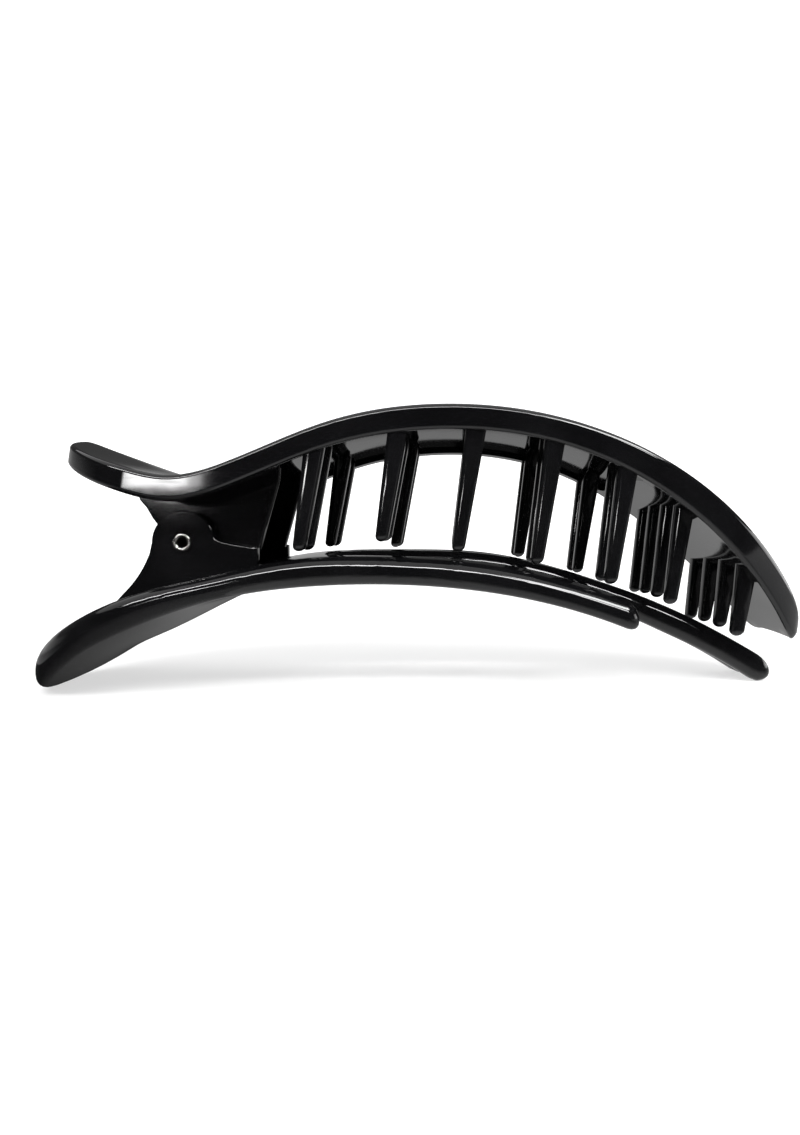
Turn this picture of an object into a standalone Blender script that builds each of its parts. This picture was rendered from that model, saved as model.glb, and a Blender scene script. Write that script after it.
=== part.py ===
"""Flat sectioning clip: two curved jaws on a hollow pin, held closed by a torsion spring.

The clip is closed. It stands on the tip of its lower handle and on the tips of its two long prongs.
+X points to the beak and +Z up, and the origin is under the middle of the clip, on that surface.
Lengths are in millimetres until a mesh is finished, which scales it to metres.
"""

import math

import bmesh
import bpy
import numpy as np
from mathutils import Matrix, Vector

MM = 0.001
OBJECT_NAME = "sectioning_clip"

# Jaws, in plan: both have the same half width and end in half ellipses.
HALF_WIDTH = 19.0
UPPER_DRAW_LEAN = 0.15  # the upper jaw's walls lean like its teeth, so that it leaves its mould
UPPER_HANDLE_CENTRE_X, UPPER_HANDLE_REACH = -42.6, 14.7
BEAK_CENTRE_X, BEAK_REACH = 28.4, 34.0
LOWER_HANDLE_CENTRE_X, LOWER_HANDLE_REACH = -47.3, 15.4

# Side profiles along the rims, as x, z.
UPPER_CREST = [(-58, 40.7), (-50, 37.2), (-43, 34.8), (-37, 33.6), (-28, 35.6), (-14, 41.0),
               (3, 43.5), (20, 41.5), (35, 35.5), (48, 26.0), (58, 14.6), (63, 7.5)]
UPPER_RIM_HEIGHT = [(-58, 3.2), (-46, 3.6), (-30, 3.9), (0, 3.8), (26, 3.9),
                    (40, 4.8), (52, 5.8), (56, 6.1), (58.6, 5.9), (60.7, 4.8), (61.7, 3.0), (62.4, 1.2)]
LOWER_INSIDE = [(-63, 4.6), (-58, 7.9), (-52, 11.6), (-44, 15.4), (-32, 18.4), (-18, 21.0),
                (-3, 21.1), (12, 19.5), (28, 15.0), (40, 10.4), (50, 5.4), (58, 0.7)]
LOWER_OUTSIDE = [(-63, 0.3), (-58, 2.9), (-50, 7.9), (-40, 12.5), (-26, 15.9), (-10, 17.2),
                 (8, 16.1), (30, 10.4), (40, 5.9), (50, 0.8), (58, -4.5)]

# Arch across the width: the middle stands this much above the rims.
UPPER_CAMBER = [(-58, 0.6), (-50, 0.3), (-36, 0), (-22, 0.9), (0, 1.5), (30, 1.5), (50, 0.8), (63, 0)]
LOWER_CAMBER = [(-63, -1.2), (-58, -1.7), (-51, -2.2), (-43, -2.7), (-36, -1.6), (-28, 0.2),
                (-15, 0.6), (-4, 0.8), (9, 1.5), (20, 1.9), (58, 2.0)]

UPPER_THICKNESS, UPPER_EDGE_RADIUS = 3.8, 0.8
LOWER_THICKNESS, LOWER_EDGE_RADIUS = 4.2, 1.5
RIM_WIDTH = 2.2
PLATE_SHARE = 0.68  # of the rim's height, left as the plate over the pocket
UPPER_POCKET_END_X = 34.0
LOWER_POCKET_DEPTH = 1.6
LOWER_POCKET_END_X = -24.0

# Prongs of the lower jaw.
SHORT_PRONG_TIP_X, SHORT_PRONG_INNER_Y = 32.4, 13.4
LONG_PRONG_TIP_X, LONG_PRONG_OUTER_Y, LONG_PRONG_INNER_Y = 57.0, 5.9, 1.3
SIDE_SLOT_ROOT_X, MIDDLE_SLOT_ROOT_X = -13.3, -11.0
PRONG_TIP_RADIUS = 2.2
SLOT_ROOT_RADIUS, MIDDLE_SLOT_ROOT_RADIUS = 3.4, 1.0

# Teeth: one station has an outer and an inner pair, a row has four teeth side by side.
OUTER_LANE_Y, MIDDLE_LANE_Y, INNER_LANE_Y = 17.1, 10.8, 3.6
STATION_TIPS = [(-17.5, 22.3), (-5.4, 22.1), (5.8, 22.0), (17.3, 20.1), (28.1, 17.1)]
SHORT_STATION, SHORT_STATION_LIFT = 1, 1.5
ROW_TIPS = [(38.7, 13.4), (49.0, 8.4)]
INNER_LANE_LIFT = 0.4
TOOTH_LEAN = 0.16
TOOTH_TIP_RADII = (0.98, 1.15)
TOOTH_ROOT_RADII = (1.6, 1.4)
TOOTH_ROOT_DEPTH = 0.3  # of the rim's height, from the crest down to the end of the root
TOOTH_CAP_HEIGHT = 0.3
TOOTH_SQUARENESS = 3  # 2 is a round section, and a larger number is squarer

# Hinge.
PIN_X, PIN_Z = -36.6, 23.7
LOWER_EAR_Y = (9.9, 11.5)
UPPER_EAR_Y = (8.0, 9.6)
LOBE_RADIUS, UPPER_LOBE_RADIUS = 4.9, 4.5
LOWER_LOBE_DEGREES, UPPER_LOBE_DEGREES = (180, 12), (-80, -205)  # from and to, round the pin
LOWER_EAR_LEFT = [(-50.6, 9.8), (-48.6, 12.8), (-46.6, 15.2), (-45.1, 16.7), (-43.8, 18.3),
                  (-42.7, 20.1), (-41.9, 21.9)]
LOWER_EAR_SHOULDER = [(-30.6, 23.7), (-27.5, 23.1), (-25.1, 22.7)]
LOWER_EAR_FOOT_X = (-25.1, -50.8)
UPPER_EAR_ROOT_X = (-45.0, -21.9)
UPPER_EAR_RIGHT = [(-22.2, 33.3), (-24.6, 24.8), (-25.3, 22.4)]
UPPER_EAR_BOTTOM = [(-29.5, 21.2), (-33.0, 20.1)]
UPPER_EAR_LEFT = [(-42.1, 27.5), (-43.0, 29.1), (-44.1, 30.4)]
UPPER_EAR_ROOT_DEPTH, LOWER_EAR_ROOT_DEPTH = 0.7, 1.6
EAR_BORE_RADIUS = 1.25
PIN_RADIUS, PIN_BORE_RADIUS = 1.08, 0.82
PIN_RIM_RADIUS, PIN_RIM_GAP, PIN_RIM_THICKNESS = 1.42, 0.2, 0.4

# Spring.
WIRE_RADIUS = 0.6
COIL_RADIUS = 2.55
COIL_HALF_LENGTH = 4.9
COIL_PITCH = 1.4
POINTS_PER_TURN = 16
UPPER_LEG_END_X, LOWER_LEG_END_X = -49.0, -51.0
LEG_GAP = 0.7  # from the wire to the plate that it pushes on

BLACK = (0.008, 0.008, 0.009)
BRIGHT_STEEL = (0.62, 0.61, 0.60)
GREY_STEEL = (0.42, 0.42, 0.43)

SURFACE_Z = 0.0
PRONG_REST_X = 54.2  # from here to the tips the long prongs lie flat on the surface
STATION_STEP = 3.5
GRID_SHIFT = 1.1
STATIONS_Y = (-12, -6, 0, 6, 12)
END_STRIP = 2.0  # from a plate's end to its first station
CUTTER_HEIGHT = 5.0

# How many flats stand for each curve, and what counts as the same point, a flat joint or nothing.
HANDLE_STEPS, BEAK_STEPS, POCKET_STEPS, FILLET_STEPS = 16, 24, 12, 4
LOBE_POINTS, EAR_EDGE_POINTS = 14, 9
TOOTH_SIDES, TOOTH_RINGS = 10, 6
ROUND_SIDES = 20
MERGE_DISTANCE = 1e-4
FLAT_ANGLE = math.radians(0.1)
TINY = 1e-6


def clear_scene():
    for obj in list(bpy.data.objects):
        bpy.data.objects.remove(obj, do_unlink=True)


def new_collection(name):
    found = bpy.data.collections.new(name)
    bpy.context.scene.collection.children.link(found)
    return found


def material(name, colour, roughness, metallic):
    made = bpy.data.materials.new(name)
    made.use_nodes = True
    shader = made.node_tree.nodes["Principled BSDF"]
    shader.inputs["Base Color"].default_value = (*colour, 1.0)
    shader.inputs["Roughness"].default_value = roughness
    shader.inputs["Metallic"].default_value = metallic
    return made


def smooth_curve(points):
    """A natural cubic spline through the points, as a function of x."""
    x, z = np.array(points, float).T
    step = np.diff(x)
    slope = np.diff(z) / step
    system = np.eye(len(x))
    wanted = np.zeros(len(x))
    for i in range(1, len(x) - 1):
        system[i, i - 1 : i + 2] = step[i - 1], 2 * (step[i - 1] + step[i]), step[i]
        wanted[i] = 6 * (slope[i] - slope[i - 1])
    bend = np.linalg.solve(system, wanted)

    def at(where):
        i = int(np.clip(np.searchsorted(x, where) - 1, 0, len(x) - 2))
        d = where - x[i]
        first = slope[i] - step[i] * (2 * bend[i] + bend[i + 1]) / 6
        return float(z[i] + d * first + d * d * bend[i] / 2 + d**3 * (bend[i + 1] - bend[i]) / (6 * step[i]))

    return at


crest = smooth_curve(UPPER_CREST)
rim_height = smooth_curve(UPPER_RIM_HEIGHT)
lower_inside = smooth_curve(LOWER_INSIDE)
lower_outside = smooth_curve(LOWER_OUTSIDE)
upper_camber = smooth_curve(UPPER_CAMBER)
lower_camber = smooth_curve(LOWER_CAMBER)


def half_width(x, left_centre, left_reach, right_centre, right_reach):
    if x < left_centre:
        along = (left_centre - x) / left_reach
    else:
        along = max(0.0, (x - right_centre) / right_reach)
    return HALF_WIDTH * math.sqrt(max(0.0, 1 - along * along))


def upper_half_width(x):
    return half_width(x, UPPER_HANDLE_CENTRE_X, UPPER_HANDLE_REACH, BEAK_CENTRE_X, BEAK_REACH)


def arch(y, half):
    """1 on the middle line and 0 at the rim."""
    return 1 - min(1.0, (y / max(half, TINY)) ** 2)


def upper_top(x, y):
    return crest(x) + upper_camber(x) * arch(y, upper_half_width(x))


def upper_edge(x, y):
    return upper_top(x, y) - rim_height(x)


def upper_ceiling(x, y):
    return upper_top(x, y) - PLATE_SHARE * rim_height(x)


def lower_arch(x, y):
    return lower_camber(x) * arch(y, HALF_WIDTH)


def lower_top(x, y):
    return lower_inside(x) + max(0.0, lower_arch(x, y))


def lower_bottom(x, y):
    return max(SURFACE_Z, lower_outside(x) + lower_arch(x, y))


def lower_floor(x, y):
    return lower_inside(x) + lower_arch(x, y) - LOWER_POCKET_DEPTH


def ellipse_end(centre_x, reach, half, steps, toward):
    """Points round a half ellipse, from -Y to +Y, that bulges to -X or +X."""
    angles = [math.pi * (i / steps - 0.5) for i in range(steps + 1)]
    return [(centre_x + toward * reach * math.cos(a), half * math.sin(a)) for a in angles]


def fillet(before, corner, after, radius):
    """The arc that rounds a corner between two straight sides."""
    corner = Vector(corner)
    to_before = (Vector(before) - corner).normalized()
    to_after = (Vector(after) - corner).normalized()
    half_angle = to_before.angle(to_after) / 2
    reach = radius / math.tan(half_angle)
    centre = corner + (to_before + to_after).normalized() * radius / math.sin(half_angle)
    start = corner + to_before * reach - centre
    turn = start.angle_signed(corner + to_after * reach - centre)
    turns = np.linspace(0, -turn, FILLET_STEPS + 1)
    return [tuple(centre + Matrix.Rotation(angle, 2) @ start) for angle in turns]


def upper_outline():
    left = ellipse_end(UPPER_HANDLE_CENTRE_X, UPPER_HANDLE_REACH, HALF_WIDTH, HANDLE_STEPS, -1)
    right = ellipse_end(BEAK_CENTRE_X, BEAK_REACH, HALF_WIDTH, BEAK_STEPS, 1)
    return right + left[::-1]


def lower_outline():
    """The comb: handle end, then a short and a long prong on each side."""
    far_side = []
    corners = [
        (LOWER_HANDLE_CENTRE_X, HALF_WIDTH, 0),
        (SHORT_PRONG_TIP_X, HALF_WIDTH, PRONG_TIP_RADIUS),
        (SHORT_PRONG_TIP_X, SHORT_PRONG_INNER_Y, PRONG_TIP_RADIUS),
        (SIDE_SLOT_ROOT_X, SHORT_PRONG_INNER_Y, SLOT_ROOT_RADIUS),
        (SIDE_SLOT_ROOT_X, LONG_PRONG_OUTER_Y, SLOT_ROOT_RADIUS),
        (LONG_PRONG_TIP_X, LONG_PRONG_OUTER_Y, PRONG_TIP_RADIUS),
        (LONG_PRONG_TIP_X, LONG_PRONG_INNER_Y, PRONG_TIP_RADIUS),
        (MIDDLE_SLOT_ROOT_X, LONG_PRONG_INNER_Y, MIDDLE_SLOT_ROOT_RADIUS),
        (MIDDLE_SLOT_ROOT_X, 0, 0),
    ]
    for before, corner, after in zip(corners, corners[1:], corners[2:]):
        far_side += fillet(before[:2], corner[:2], after[:2], corner[2])
    handle = ellipse_end(LOWER_HANDLE_CENTRE_X, LOWER_HANDLE_REACH, HALF_WIDTH, HANDLE_STEPS, -1)
    return handle + far_side + [(x, -y) for x, y in far_side[::-1]]


def pocket_outline(handle_centre_x, handle_reach, end_x):
    """The hollow inside a jaw: it follows the rim round the handle and ends square across the jaw."""
    side = HALF_WIDTH - RIM_WIDTH
    handle = ellipse_end(handle_centre_x, handle_reach - RIM_WIDTH, side, POCKET_STEPS, -1)
    end = fillet((handle_centre_x, side), (end_x, side), (end_x, 0), SLOT_ROOT_RADIUS)
    return handle + end + [(x, -y) for x, y in end[::-1]]


def mesh_from_outline(name, outline, thickness, edge_radius=0.0):
    """A flat plate with the outline, centred on z = 0, with rounded edges if a radius is given."""
    curve = bpy.data.curves.new(name, "CURVE")
    curve.dimensions = "2D"
    curve.fill_mode = "BOTH"
    curve.extrude = thickness / 2 - edge_radius
    curve.bevel_depth = edge_radius
    curve.bevel_resolution = 1
    curve.offset = -edge_radius
    line = curve.splines.new("POLY")
    line.points.add(len(outline) - 1)
    for point, (x, y) in zip(line.points, outline):
        point.co = (x, y, 0, 1)
    line.use_cyclic_u = True
    holder = bpy.data.objects.new(name, curve)
    bpy.context.scene.collection.objects.link(holder)
    bpy.context.view_layer.update()
    mesh = bpy.data.meshes.new_from_object(holder.evaluated_get(bpy.context.evaluated_depsgraph_get()))
    bpy.data.objects.remove(holder)
    bpy.data.curves.remove(curve)
    shape = bmesh.new()
    shape.from_mesh(mesh)
    bmesh.ops.remove_doubles(shape, verts=shape.verts, dist=MERGE_DISTANCE)
    bmesh.ops.dissolve_limit(shape, angle_limit=FLAT_ANGLE, verts=shape.verts, edges=shape.edges)
    bmesh.ops.recalc_face_normals(shape, faces=shape.faces)
    shape.to_mesh(mesh)
    shape.free()
    return mesh


def slice_across(mesh, stations_x, stations_y):
    """Cuts the mesh's faces at each station, so that the plate can bend there."""
    shape = bmesh.new()
    shape.from_mesh(mesh)
    planes = [((x, 0, 0), (1, 0, 0)) for x in stations_x] + [((0, y, 0), (0, 1, 0)) for y in stations_y]
    for point, normal in planes:
        everything = shape.verts[:] + shape.edges[:] + shape.faces[:]
        bmesh.ops.bisect_plane(shape, geom=everything, dist=MERGE_DISTANCE, plane_co=point, plane_no=normal)
    shape.to_mesh(mesh)
    shape.free()


def drape(mesh, thickness, under, over, lean=0.0):
    """Moves the flat plate's underside to one surface and its upper side to another.

    With a lean, the walls slope towards +X as they rise.
    """
    for vertex in mesh.vertices:
        x, y, z = vertex.co
        low = under(x, y)
        rise = (over(x, y) - low) * (z / thickness + 0.5)
        vertex.co = (x + lean * rise, y, low + rise)


def to_metres(mesh):
    mesh.transform(Matrix.Scale(MM, 4))
    mesh.update()


def piece(name, mesh, look, collection):
    obj = bpy.data.objects.new(name, mesh)
    mesh.materials.clear()
    mesh.materials.append(look)
    collection.objects.link(obj)
    return obj


def tool(name, mesh, tools):
    """A helper solid that is cut from a piece or joined to one."""
    to_metres(mesh)
    obj = bpy.data.objects.new(name, mesh)
    obj.hide_render = True
    obj.display_type = "WIRE"
    tools.objects.link(obj)
    return obj


def combine(obj, other, operation):
    change = obj.modifiers.new(other.name, "BOOLEAN")
    change.operation = operation
    change.object = other
    change.solver = "EXACT"


def draped_plate(name, outline, thickness, edge_radius, stations, under, over, lean=0.0):
    mesh = mesh_from_outline(name, outline, thickness, edge_radius)
    slice_across(mesh, *stations)
    drape(mesh, thickness, under, over, lean)
    return mesh


def tooth(shape, x, y, tip_z, root_z):
    """One tapered tooth with a round tip, leaning like all the others, added to the bmesh."""
    made = bmesh.ops.create_uvsphere(shape, u_segments=TOOTH_SIDES, v_segments=TOOTH_RINGS, radius=1.0)
    length = root_z - tip_z
    for vertex in made["verts"]:
        out_x, out_y, up = vertex.co
        size = math.hypot(out_x, out_y)
        powers = abs(out_x) ** TOOTH_SQUARENESS + abs(out_y) ** TOOTH_SQUARENESS
        squared = size / powers ** (1 / TOOTH_SQUARENESS) if size > TINY else 1.0
        root = up > TINY
        radii = TOOTH_ROOT_RADII if root else TOOTH_TIP_RADII
        height = length + (up - 1) * TOOTH_CAP_HEIGHT if root else (up + 1) * TOOTH_TIP_RADII[0]
        vertex.co = (
            x + out_x * squared * radii[0] + height * TOOTH_LEAN,
            y + out_y * squared * radii[1],
            tip_z + height,
        )


def tooth_places():
    """x, y and z of every tooth's tip."""
    places = []
    for number, (x, z) in enumerate(STATION_TIPS):
        for y in (-OUTER_LANE_Y, -MIDDLE_LANE_Y, MIDDLE_LANE_Y, OUTER_LANE_Y):
            lift = SHORT_STATION_LIFT if number == SHORT_STATION and y < 0 else 0.0
            places.append((x, y, z + lift))
    for x, z in ROW_TIPS:
        for y in (-MIDDLE_LANE_Y, -INNER_LANE_Y, INNER_LANE_Y, MIDDLE_LANE_Y):
            places.append((x, y, z + (INNER_LANE_LIFT if abs(y) == INNER_LANE_Y else 0.0)))
    return places


def teeth_mesh():
    shape = bmesh.new()
    for x, y, z in tooth_places():
        root_x = x + TOOTH_LEAN * (crest(x) - z)
        tooth(shape, x, y, z, upper_top(root_x, y) - TOOTH_ROOT_DEPTH * rim_height(root_x))
    mesh = bpy.data.meshes.new("teeth")
    shape.to_mesh(mesh)
    shape.free()
    return mesh


def upright_plate(name, outline, low_y, high_y):
    """A plate with its outline in x and z, between two values of y."""
    mesh = mesh_from_outline(name, outline, high_y - low_y)
    mesh.transform(Matrix.Translation((0, (low_y + high_y) / 2, 0)) @ Matrix.Rotation(math.pi / 2, 4, "X"))
    return mesh


def pin_arc(radius, start_degrees, end_degrees):
    angles = np.radians(np.linspace(start_degrees, end_degrees, LOBE_POINTS))
    return [(PIN_X + radius * math.cos(a), PIN_Z + radius * math.sin(a)) for a in angles]


def ear_edge(surface, ear_y, depth, ends_x):
    """Where an ear ends inside its jaw, a little past the surface that it stands on."""
    return [(x, surface(x, ear_y) + depth) for x in np.linspace(*ends_x, EAR_EDGE_POINTS)]


def lower_ear_outline():
    """Foot in the plate, hollow left side, lobe round the pin, and a low shoulder to the right."""
    lobe = pin_arc(LOBE_RADIUS, *LOWER_LOBE_DEGREES)
    foot = ear_edge(lower_bottom, LOWER_EAR_Y[0], LOWER_EAR_ROOT_DEPTH, LOWER_EAR_FOOT_X)
    return LOWER_EAR_LEFT + lobe + LOWER_EAR_SHOULDER + foot


def upper_ear_outline():
    """Root in the plate, down along the lobe, round under the pin, and a long leaning right side."""
    lobe = pin_arc(UPPER_LOBE_RADIUS, *UPPER_LOBE_DEGREES)
    root = ear_edge(upper_top, UPPER_EAR_Y[0], -UPPER_EAR_ROOT_DEPTH, UPPER_EAR_ROOT_X)
    return root + UPPER_EAR_RIGHT + UPPER_EAR_BOTTOM + lobe + UPPER_EAR_LEFT


def bore_mesh():
    shape = bmesh.new()
    radii = {"radius1": EAR_BORE_RADIUS, "radius2": EAR_BORE_RADIUS}
    bmesh.ops.create_cone(shape, cap_ends=True, segments=ROUND_SIDES, depth=2 * HALF_WIDTH, **radii)
    mesh = bpy.data.meshes.new("bore")
    shape.to_mesh(mesh)
    shape.free()
    mesh.transform(Matrix.Translation((PIN_X, 0, PIN_Z)) @ Matrix.Rotation(math.pi / 2, 4, "X"))
    return mesh


def place_on_pin(obj):
    """Moves the object's origin on to the hinge line, and leaves its shape where it is."""
    obj.data.transform(Matrix.Translation((-PIN_X * MM, 0, -PIN_Z * MM)))
    obj.location = (PIN_X * MM, 0, PIN_Z * MM)


def grid(low, high, shift=0.0):
    """Where a plate is cut along x and y so that it can bend; a shift keeps two grids apart."""
    return np.arange(low + shift, high, STATION_STEP), [shift / 2 + y for y in STATIONS_Y]


def make_upper_jaw(look, collection, tools, bore):
    low, high = UPPER_HANDLE_CENTRE_X - UPPER_HANDLE_REACH, BEAK_CENTRE_X + BEAK_REACH
    body = draped_plate(
        "upper_jaw",
        upper_outline(),
        UPPER_THICKNESS,
        UPPER_EDGE_RADIUS,
        grid(low + END_STRIP, high),
        upper_edge,
        upper_top,
        UPPER_DRAW_LEAN,
    )
    pocket = draped_plate(
        "upper_pocket",
        pocket_outline(UPPER_HANDLE_CENTRE_X, UPPER_HANDLE_REACH, UPPER_POCKET_END_X),
        CUTTER_HEIGHT,
        0,
        grid(low + RIM_WIDTH, UPPER_POCKET_END_X, GRID_SHIFT),
        lambda x, y: upper_edge(x, y) - CUTTER_HEIGHT,
        upper_ceiling,
    )
    jaw = piece("upper_jaw", body, look, collection)
    to_metres(body)
    place_on_pin(jaw)
    combine(jaw, tool("upper_pocket", pocket, tools), "DIFFERENCE")
    combine(jaw, tool("teeth", teeth_mesh(), tools), "UNION")
    for side, name in ((1, "far"), (-1, "near")):
        low, high = sorted(side * y for y in UPPER_EAR_Y)
        ear = upright_plate(f"upper_{name}_ear", upper_ear_outline(), low, high)
        combine(jaw, tool(f"upper_{name}_ear", ear, tools), "UNION")
    combine(jaw, bore, "DIFFERENCE")
    return jaw


def make_lower_jaw(look, collection, tools, bore):
    low = LOWER_HANDLE_CENTRE_X - LOWER_HANDLE_REACH
    stations_x, stations_y = grid(low + END_STRIP, LONG_PRONG_TIP_X)
    body = draped_plate(
        "lower_jaw",
        lower_outline(),
        LOWER_THICKNESS,
        LOWER_EDGE_RADIUS,
        ([*stations_x, PRONG_REST_X], stations_y),
        lower_bottom,
        lower_top,
    )
    pocket = draped_plate(
        "lower_pocket",
        pocket_outline(LOWER_HANDLE_CENTRE_X, LOWER_HANDLE_REACH, LOWER_POCKET_END_X),
        CUTTER_HEIGHT,
        0,
        grid(low + RIM_WIDTH, LOWER_POCKET_END_X, GRID_SHIFT),
        lower_floor,
        lambda x, y: lower_top(x, y) + CUTTER_HEIGHT,
    )
    jaw = piece("lower_jaw", body, look, collection)
    to_metres(body)
    combine(jaw, tool("lower_pocket", pocket, tools), "DIFFERENCE")
    for side, name in ((1, "far"), (-1, "near")):
        low, high = sorted(side * y for y in LOWER_EAR_Y)
        ear = upright_plate(f"lower_{name}_ear", lower_ear_outline(), low, high)
        combine(jaw, tool(f"lower_{name}_ear", ear, tools), "UNION")
    combine(jaw, bore, "DIFFERENCE")
    return jaw


def make_hinge_pin(look, collection):
    """A tube along Z, turned from its section and laid along Y, with a rolled rim at each end."""
    rim_face = LOWER_EAR_Y[1] + PIN_RIM_GAP
    end = rim_face + PIN_RIM_THICKNESS
    roll = PIN_RIM_THICKNESS / 3
    upper_half = [
        (PIN_BORE_RADIUS + roll, end),
        (PIN_RIM_RADIUS - roll, end),
        (PIN_RIM_RADIUS, end - roll),
        (PIN_RIM_RADIUS, rim_face),
        (PIN_RADIUS, rim_face),
    ]
    outside = upper_half + [(r, -z) for r, z in upper_half[::-1]]
    inside = [(PIN_BORE_RADIUS, -end + roll), (PIN_BORE_RADIUS, end - roll)]
    profile = outside + inside
    mesh = bpy.data.meshes.new("hinge_pin")
    edges = [(i, (i + 1) % len(profile)) for i in range(len(profile))]
    mesh.from_pydata([(r * MM, 0, z * MM) for r, z in profile], edges, [])
    pin = piece("hinge_pin", mesh, look, collection)
    turn = pin.modifiers.new("turned", "SCREW")
    turn.steps = turn.render_steps = ROUND_SIDES
    turn.use_merge_vertices = True
    turn.merge_threshold = TINY
    turn.use_smooth_shade = True
    pin.rotation_euler = (math.pi / 2, 0, 0)
    pin.location = (PIN_X * MM, 0, PIN_Z * MM)
    return pin


def tangent_angle(end_x, end_z, side):
    """Where a straight leg from this end meets the coil, as an angle round the pin."""
    out_x, out_z = end_x - PIN_X, end_z - PIN_Z
    return math.atan2(out_z, out_x) + side * math.acos(COIL_RADIUS / math.hypot(out_x, out_z))


def spring_route():
    """From the lower handle along one leg, round the coil, and back along the other leg."""
    leg_height = WIRE_RADIUS + LEG_GAP
    low_end_z = lower_floor(LOWER_LEG_END_X, COIL_HALF_LENGTH) + leg_height
    high_end_z = upper_ceiling(UPPER_LEG_END_X, COIL_HALF_LENGTH) - leg_height
    first_angle = tangent_angle(LOWER_LEG_END_X, low_end_z, 1)
    last_angle = tangent_angle(UPPER_LEG_END_X, high_end_z, -1)
    whole_turns = round(2 * COIL_HALF_LENGTH / COIL_PITCH)
    turned = 2 * math.pi * whole_turns + last_angle - first_angle
    steps = round(turned / (2 * math.pi) * POINTS_PER_TURN)
    coil = []
    for i in range(steps + 1):
        angle = first_angle + turned * i / steps
        across = COIL_HALF_LENGTH * (2 * i / steps - 1)
        coil.append((PIN_X + COIL_RADIUS * math.cos(angle), across, PIN_Z + COIL_RADIUS * math.sin(angle)))
    low_end = (LOWER_LEG_END_X, -COIL_HALF_LENGTH, low_end_z)
    high_end = (UPPER_LEG_END_X, COIL_HALF_LENGTH, high_end_z)
    return [low_end] + coil + [high_end]


def make_torsion_spring(look, collection):
    curve = bpy.data.curves.new("torsion_spring", "CURVE")
    curve.dimensions = "3D"
    curve.bevel_depth = WIRE_RADIUS * MM
    curve.bevel_resolution = 1
    curve.use_fill_caps = True
    route = spring_route()
    line = curve.splines.new("POLY")
    line.points.add(len(route) - 1)
    for point, (x, y, z) in zip(line.points, route):
        point.co = ((x - PIN_X) * MM, y * MM, (z - PIN_Z) * MM, 1)
    curve.materials.append(look)
    spring = bpy.data.objects.new("torsion_spring", curve)
    spring.location = (PIN_X * MM, 0, PIN_Z * MM)
    collection.objects.link(spring)
    return spring


def build():
    clear_scene()
    collection = new_collection(OBJECT_NAME)
    tools = new_collection("tools")
    tools.hide_render = True
    plastic = material("black_plastic", BLACK, roughness=0.12, metallic=0.0)
    pin_steel = material("pin_steel", BRIGHT_STEEL, roughness=0.25, metallic=1.0)
    spring_steel = material("spring_steel", GREY_STEEL, roughness=0.3, metallic=1.0)
    bore = tool("bore", bore_mesh(), tools)
    make_lower_jaw(plastic, collection, tools, bore)
    make_upper_jaw(plastic, collection, tools, bore)
    make_hinge_pin(pin_steel, collection)
    make_torsion_spring(spring_steel, collection)


build()
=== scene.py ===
"""Looks of the sectioning clip: glossy jaws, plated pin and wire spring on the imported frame.

Shapes are worked out in millimetres, in the row frame, and each finished mesh is scaled to metres.
"""

import math
from contextlib import contextmanager

import bmesh
import bpy
import numpy as np
from mathutils import Matrix, Vector


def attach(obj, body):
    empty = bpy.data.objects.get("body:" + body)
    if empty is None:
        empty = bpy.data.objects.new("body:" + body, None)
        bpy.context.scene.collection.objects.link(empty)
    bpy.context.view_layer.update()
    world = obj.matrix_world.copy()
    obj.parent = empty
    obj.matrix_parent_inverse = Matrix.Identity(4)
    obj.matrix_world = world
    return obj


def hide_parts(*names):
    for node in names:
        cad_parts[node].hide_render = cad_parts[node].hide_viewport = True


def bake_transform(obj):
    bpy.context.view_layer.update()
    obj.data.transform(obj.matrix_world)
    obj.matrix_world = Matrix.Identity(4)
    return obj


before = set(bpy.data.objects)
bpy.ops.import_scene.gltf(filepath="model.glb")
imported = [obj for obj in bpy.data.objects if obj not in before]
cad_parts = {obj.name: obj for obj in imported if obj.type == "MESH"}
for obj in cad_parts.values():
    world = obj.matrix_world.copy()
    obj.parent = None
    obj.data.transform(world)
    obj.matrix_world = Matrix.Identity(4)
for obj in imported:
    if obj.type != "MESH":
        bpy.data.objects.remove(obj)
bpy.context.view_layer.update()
MM = 0.001

# Jaws, in plan.
HALF_WIDTH = 19.0
UPPER_DRAW_LEAN = 0.15
UPPER_HANDLE_CENTRE_X, UPPER_HANDLE_REACH = -42.6, 14.7
BEAK_CENTRE_X, BEAK_REACH = 28.4, 34.0
LOWER_HANDLE_CENTRE_X, LOWER_HANDLE_REACH = -47.3, 15.4

# Side profiles along the rims, as x, z.
UPPER_CREST = [(-58, 40.7), (-50, 37.2), (-43, 34.8), (-37, 33.6), (-28, 35.6), (-14, 41.0),
               (3, 43.5), (20, 41.5), (35, 35.5), (48, 26.0), (58, 14.6), (63, 7.5)]
UPPER_RIM_HEIGHT = [(-58, 3.2), (-46, 3.6), (-30, 3.9), (0, 3.8), (26, 3.9), (40, 4.8), (52, 5.8),
                    (56, 6.1), (58.6, 6.0), (59.4, 5.5), (60.0, 4.6), (60.7, 3.3), (61.4, 2.3),
                    (62.0, 1.5), (62.4, 0.9)]
LOWER_INSIDE = [(-63, 4.6), (-58, 7.9), (-52, 11.6), (-44, 15.4), (-32, 18.4), (-18, 21.0),
                (-3, 21.1), (12, 19.5), (28, 15.0), (40, 10.4), (50, 5.4), (58, 0.7)]
LOWER_OUTSIDE = [(-63, 0.3), (-58, 2.9), (-50, 7.9), (-40, 12.5), (-26, 15.9), (-10, 17.2),
                 (8, 16.1), (30, 10.4), (40, 5.9), (50, 0.8), (58, -4.5)]

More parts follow.
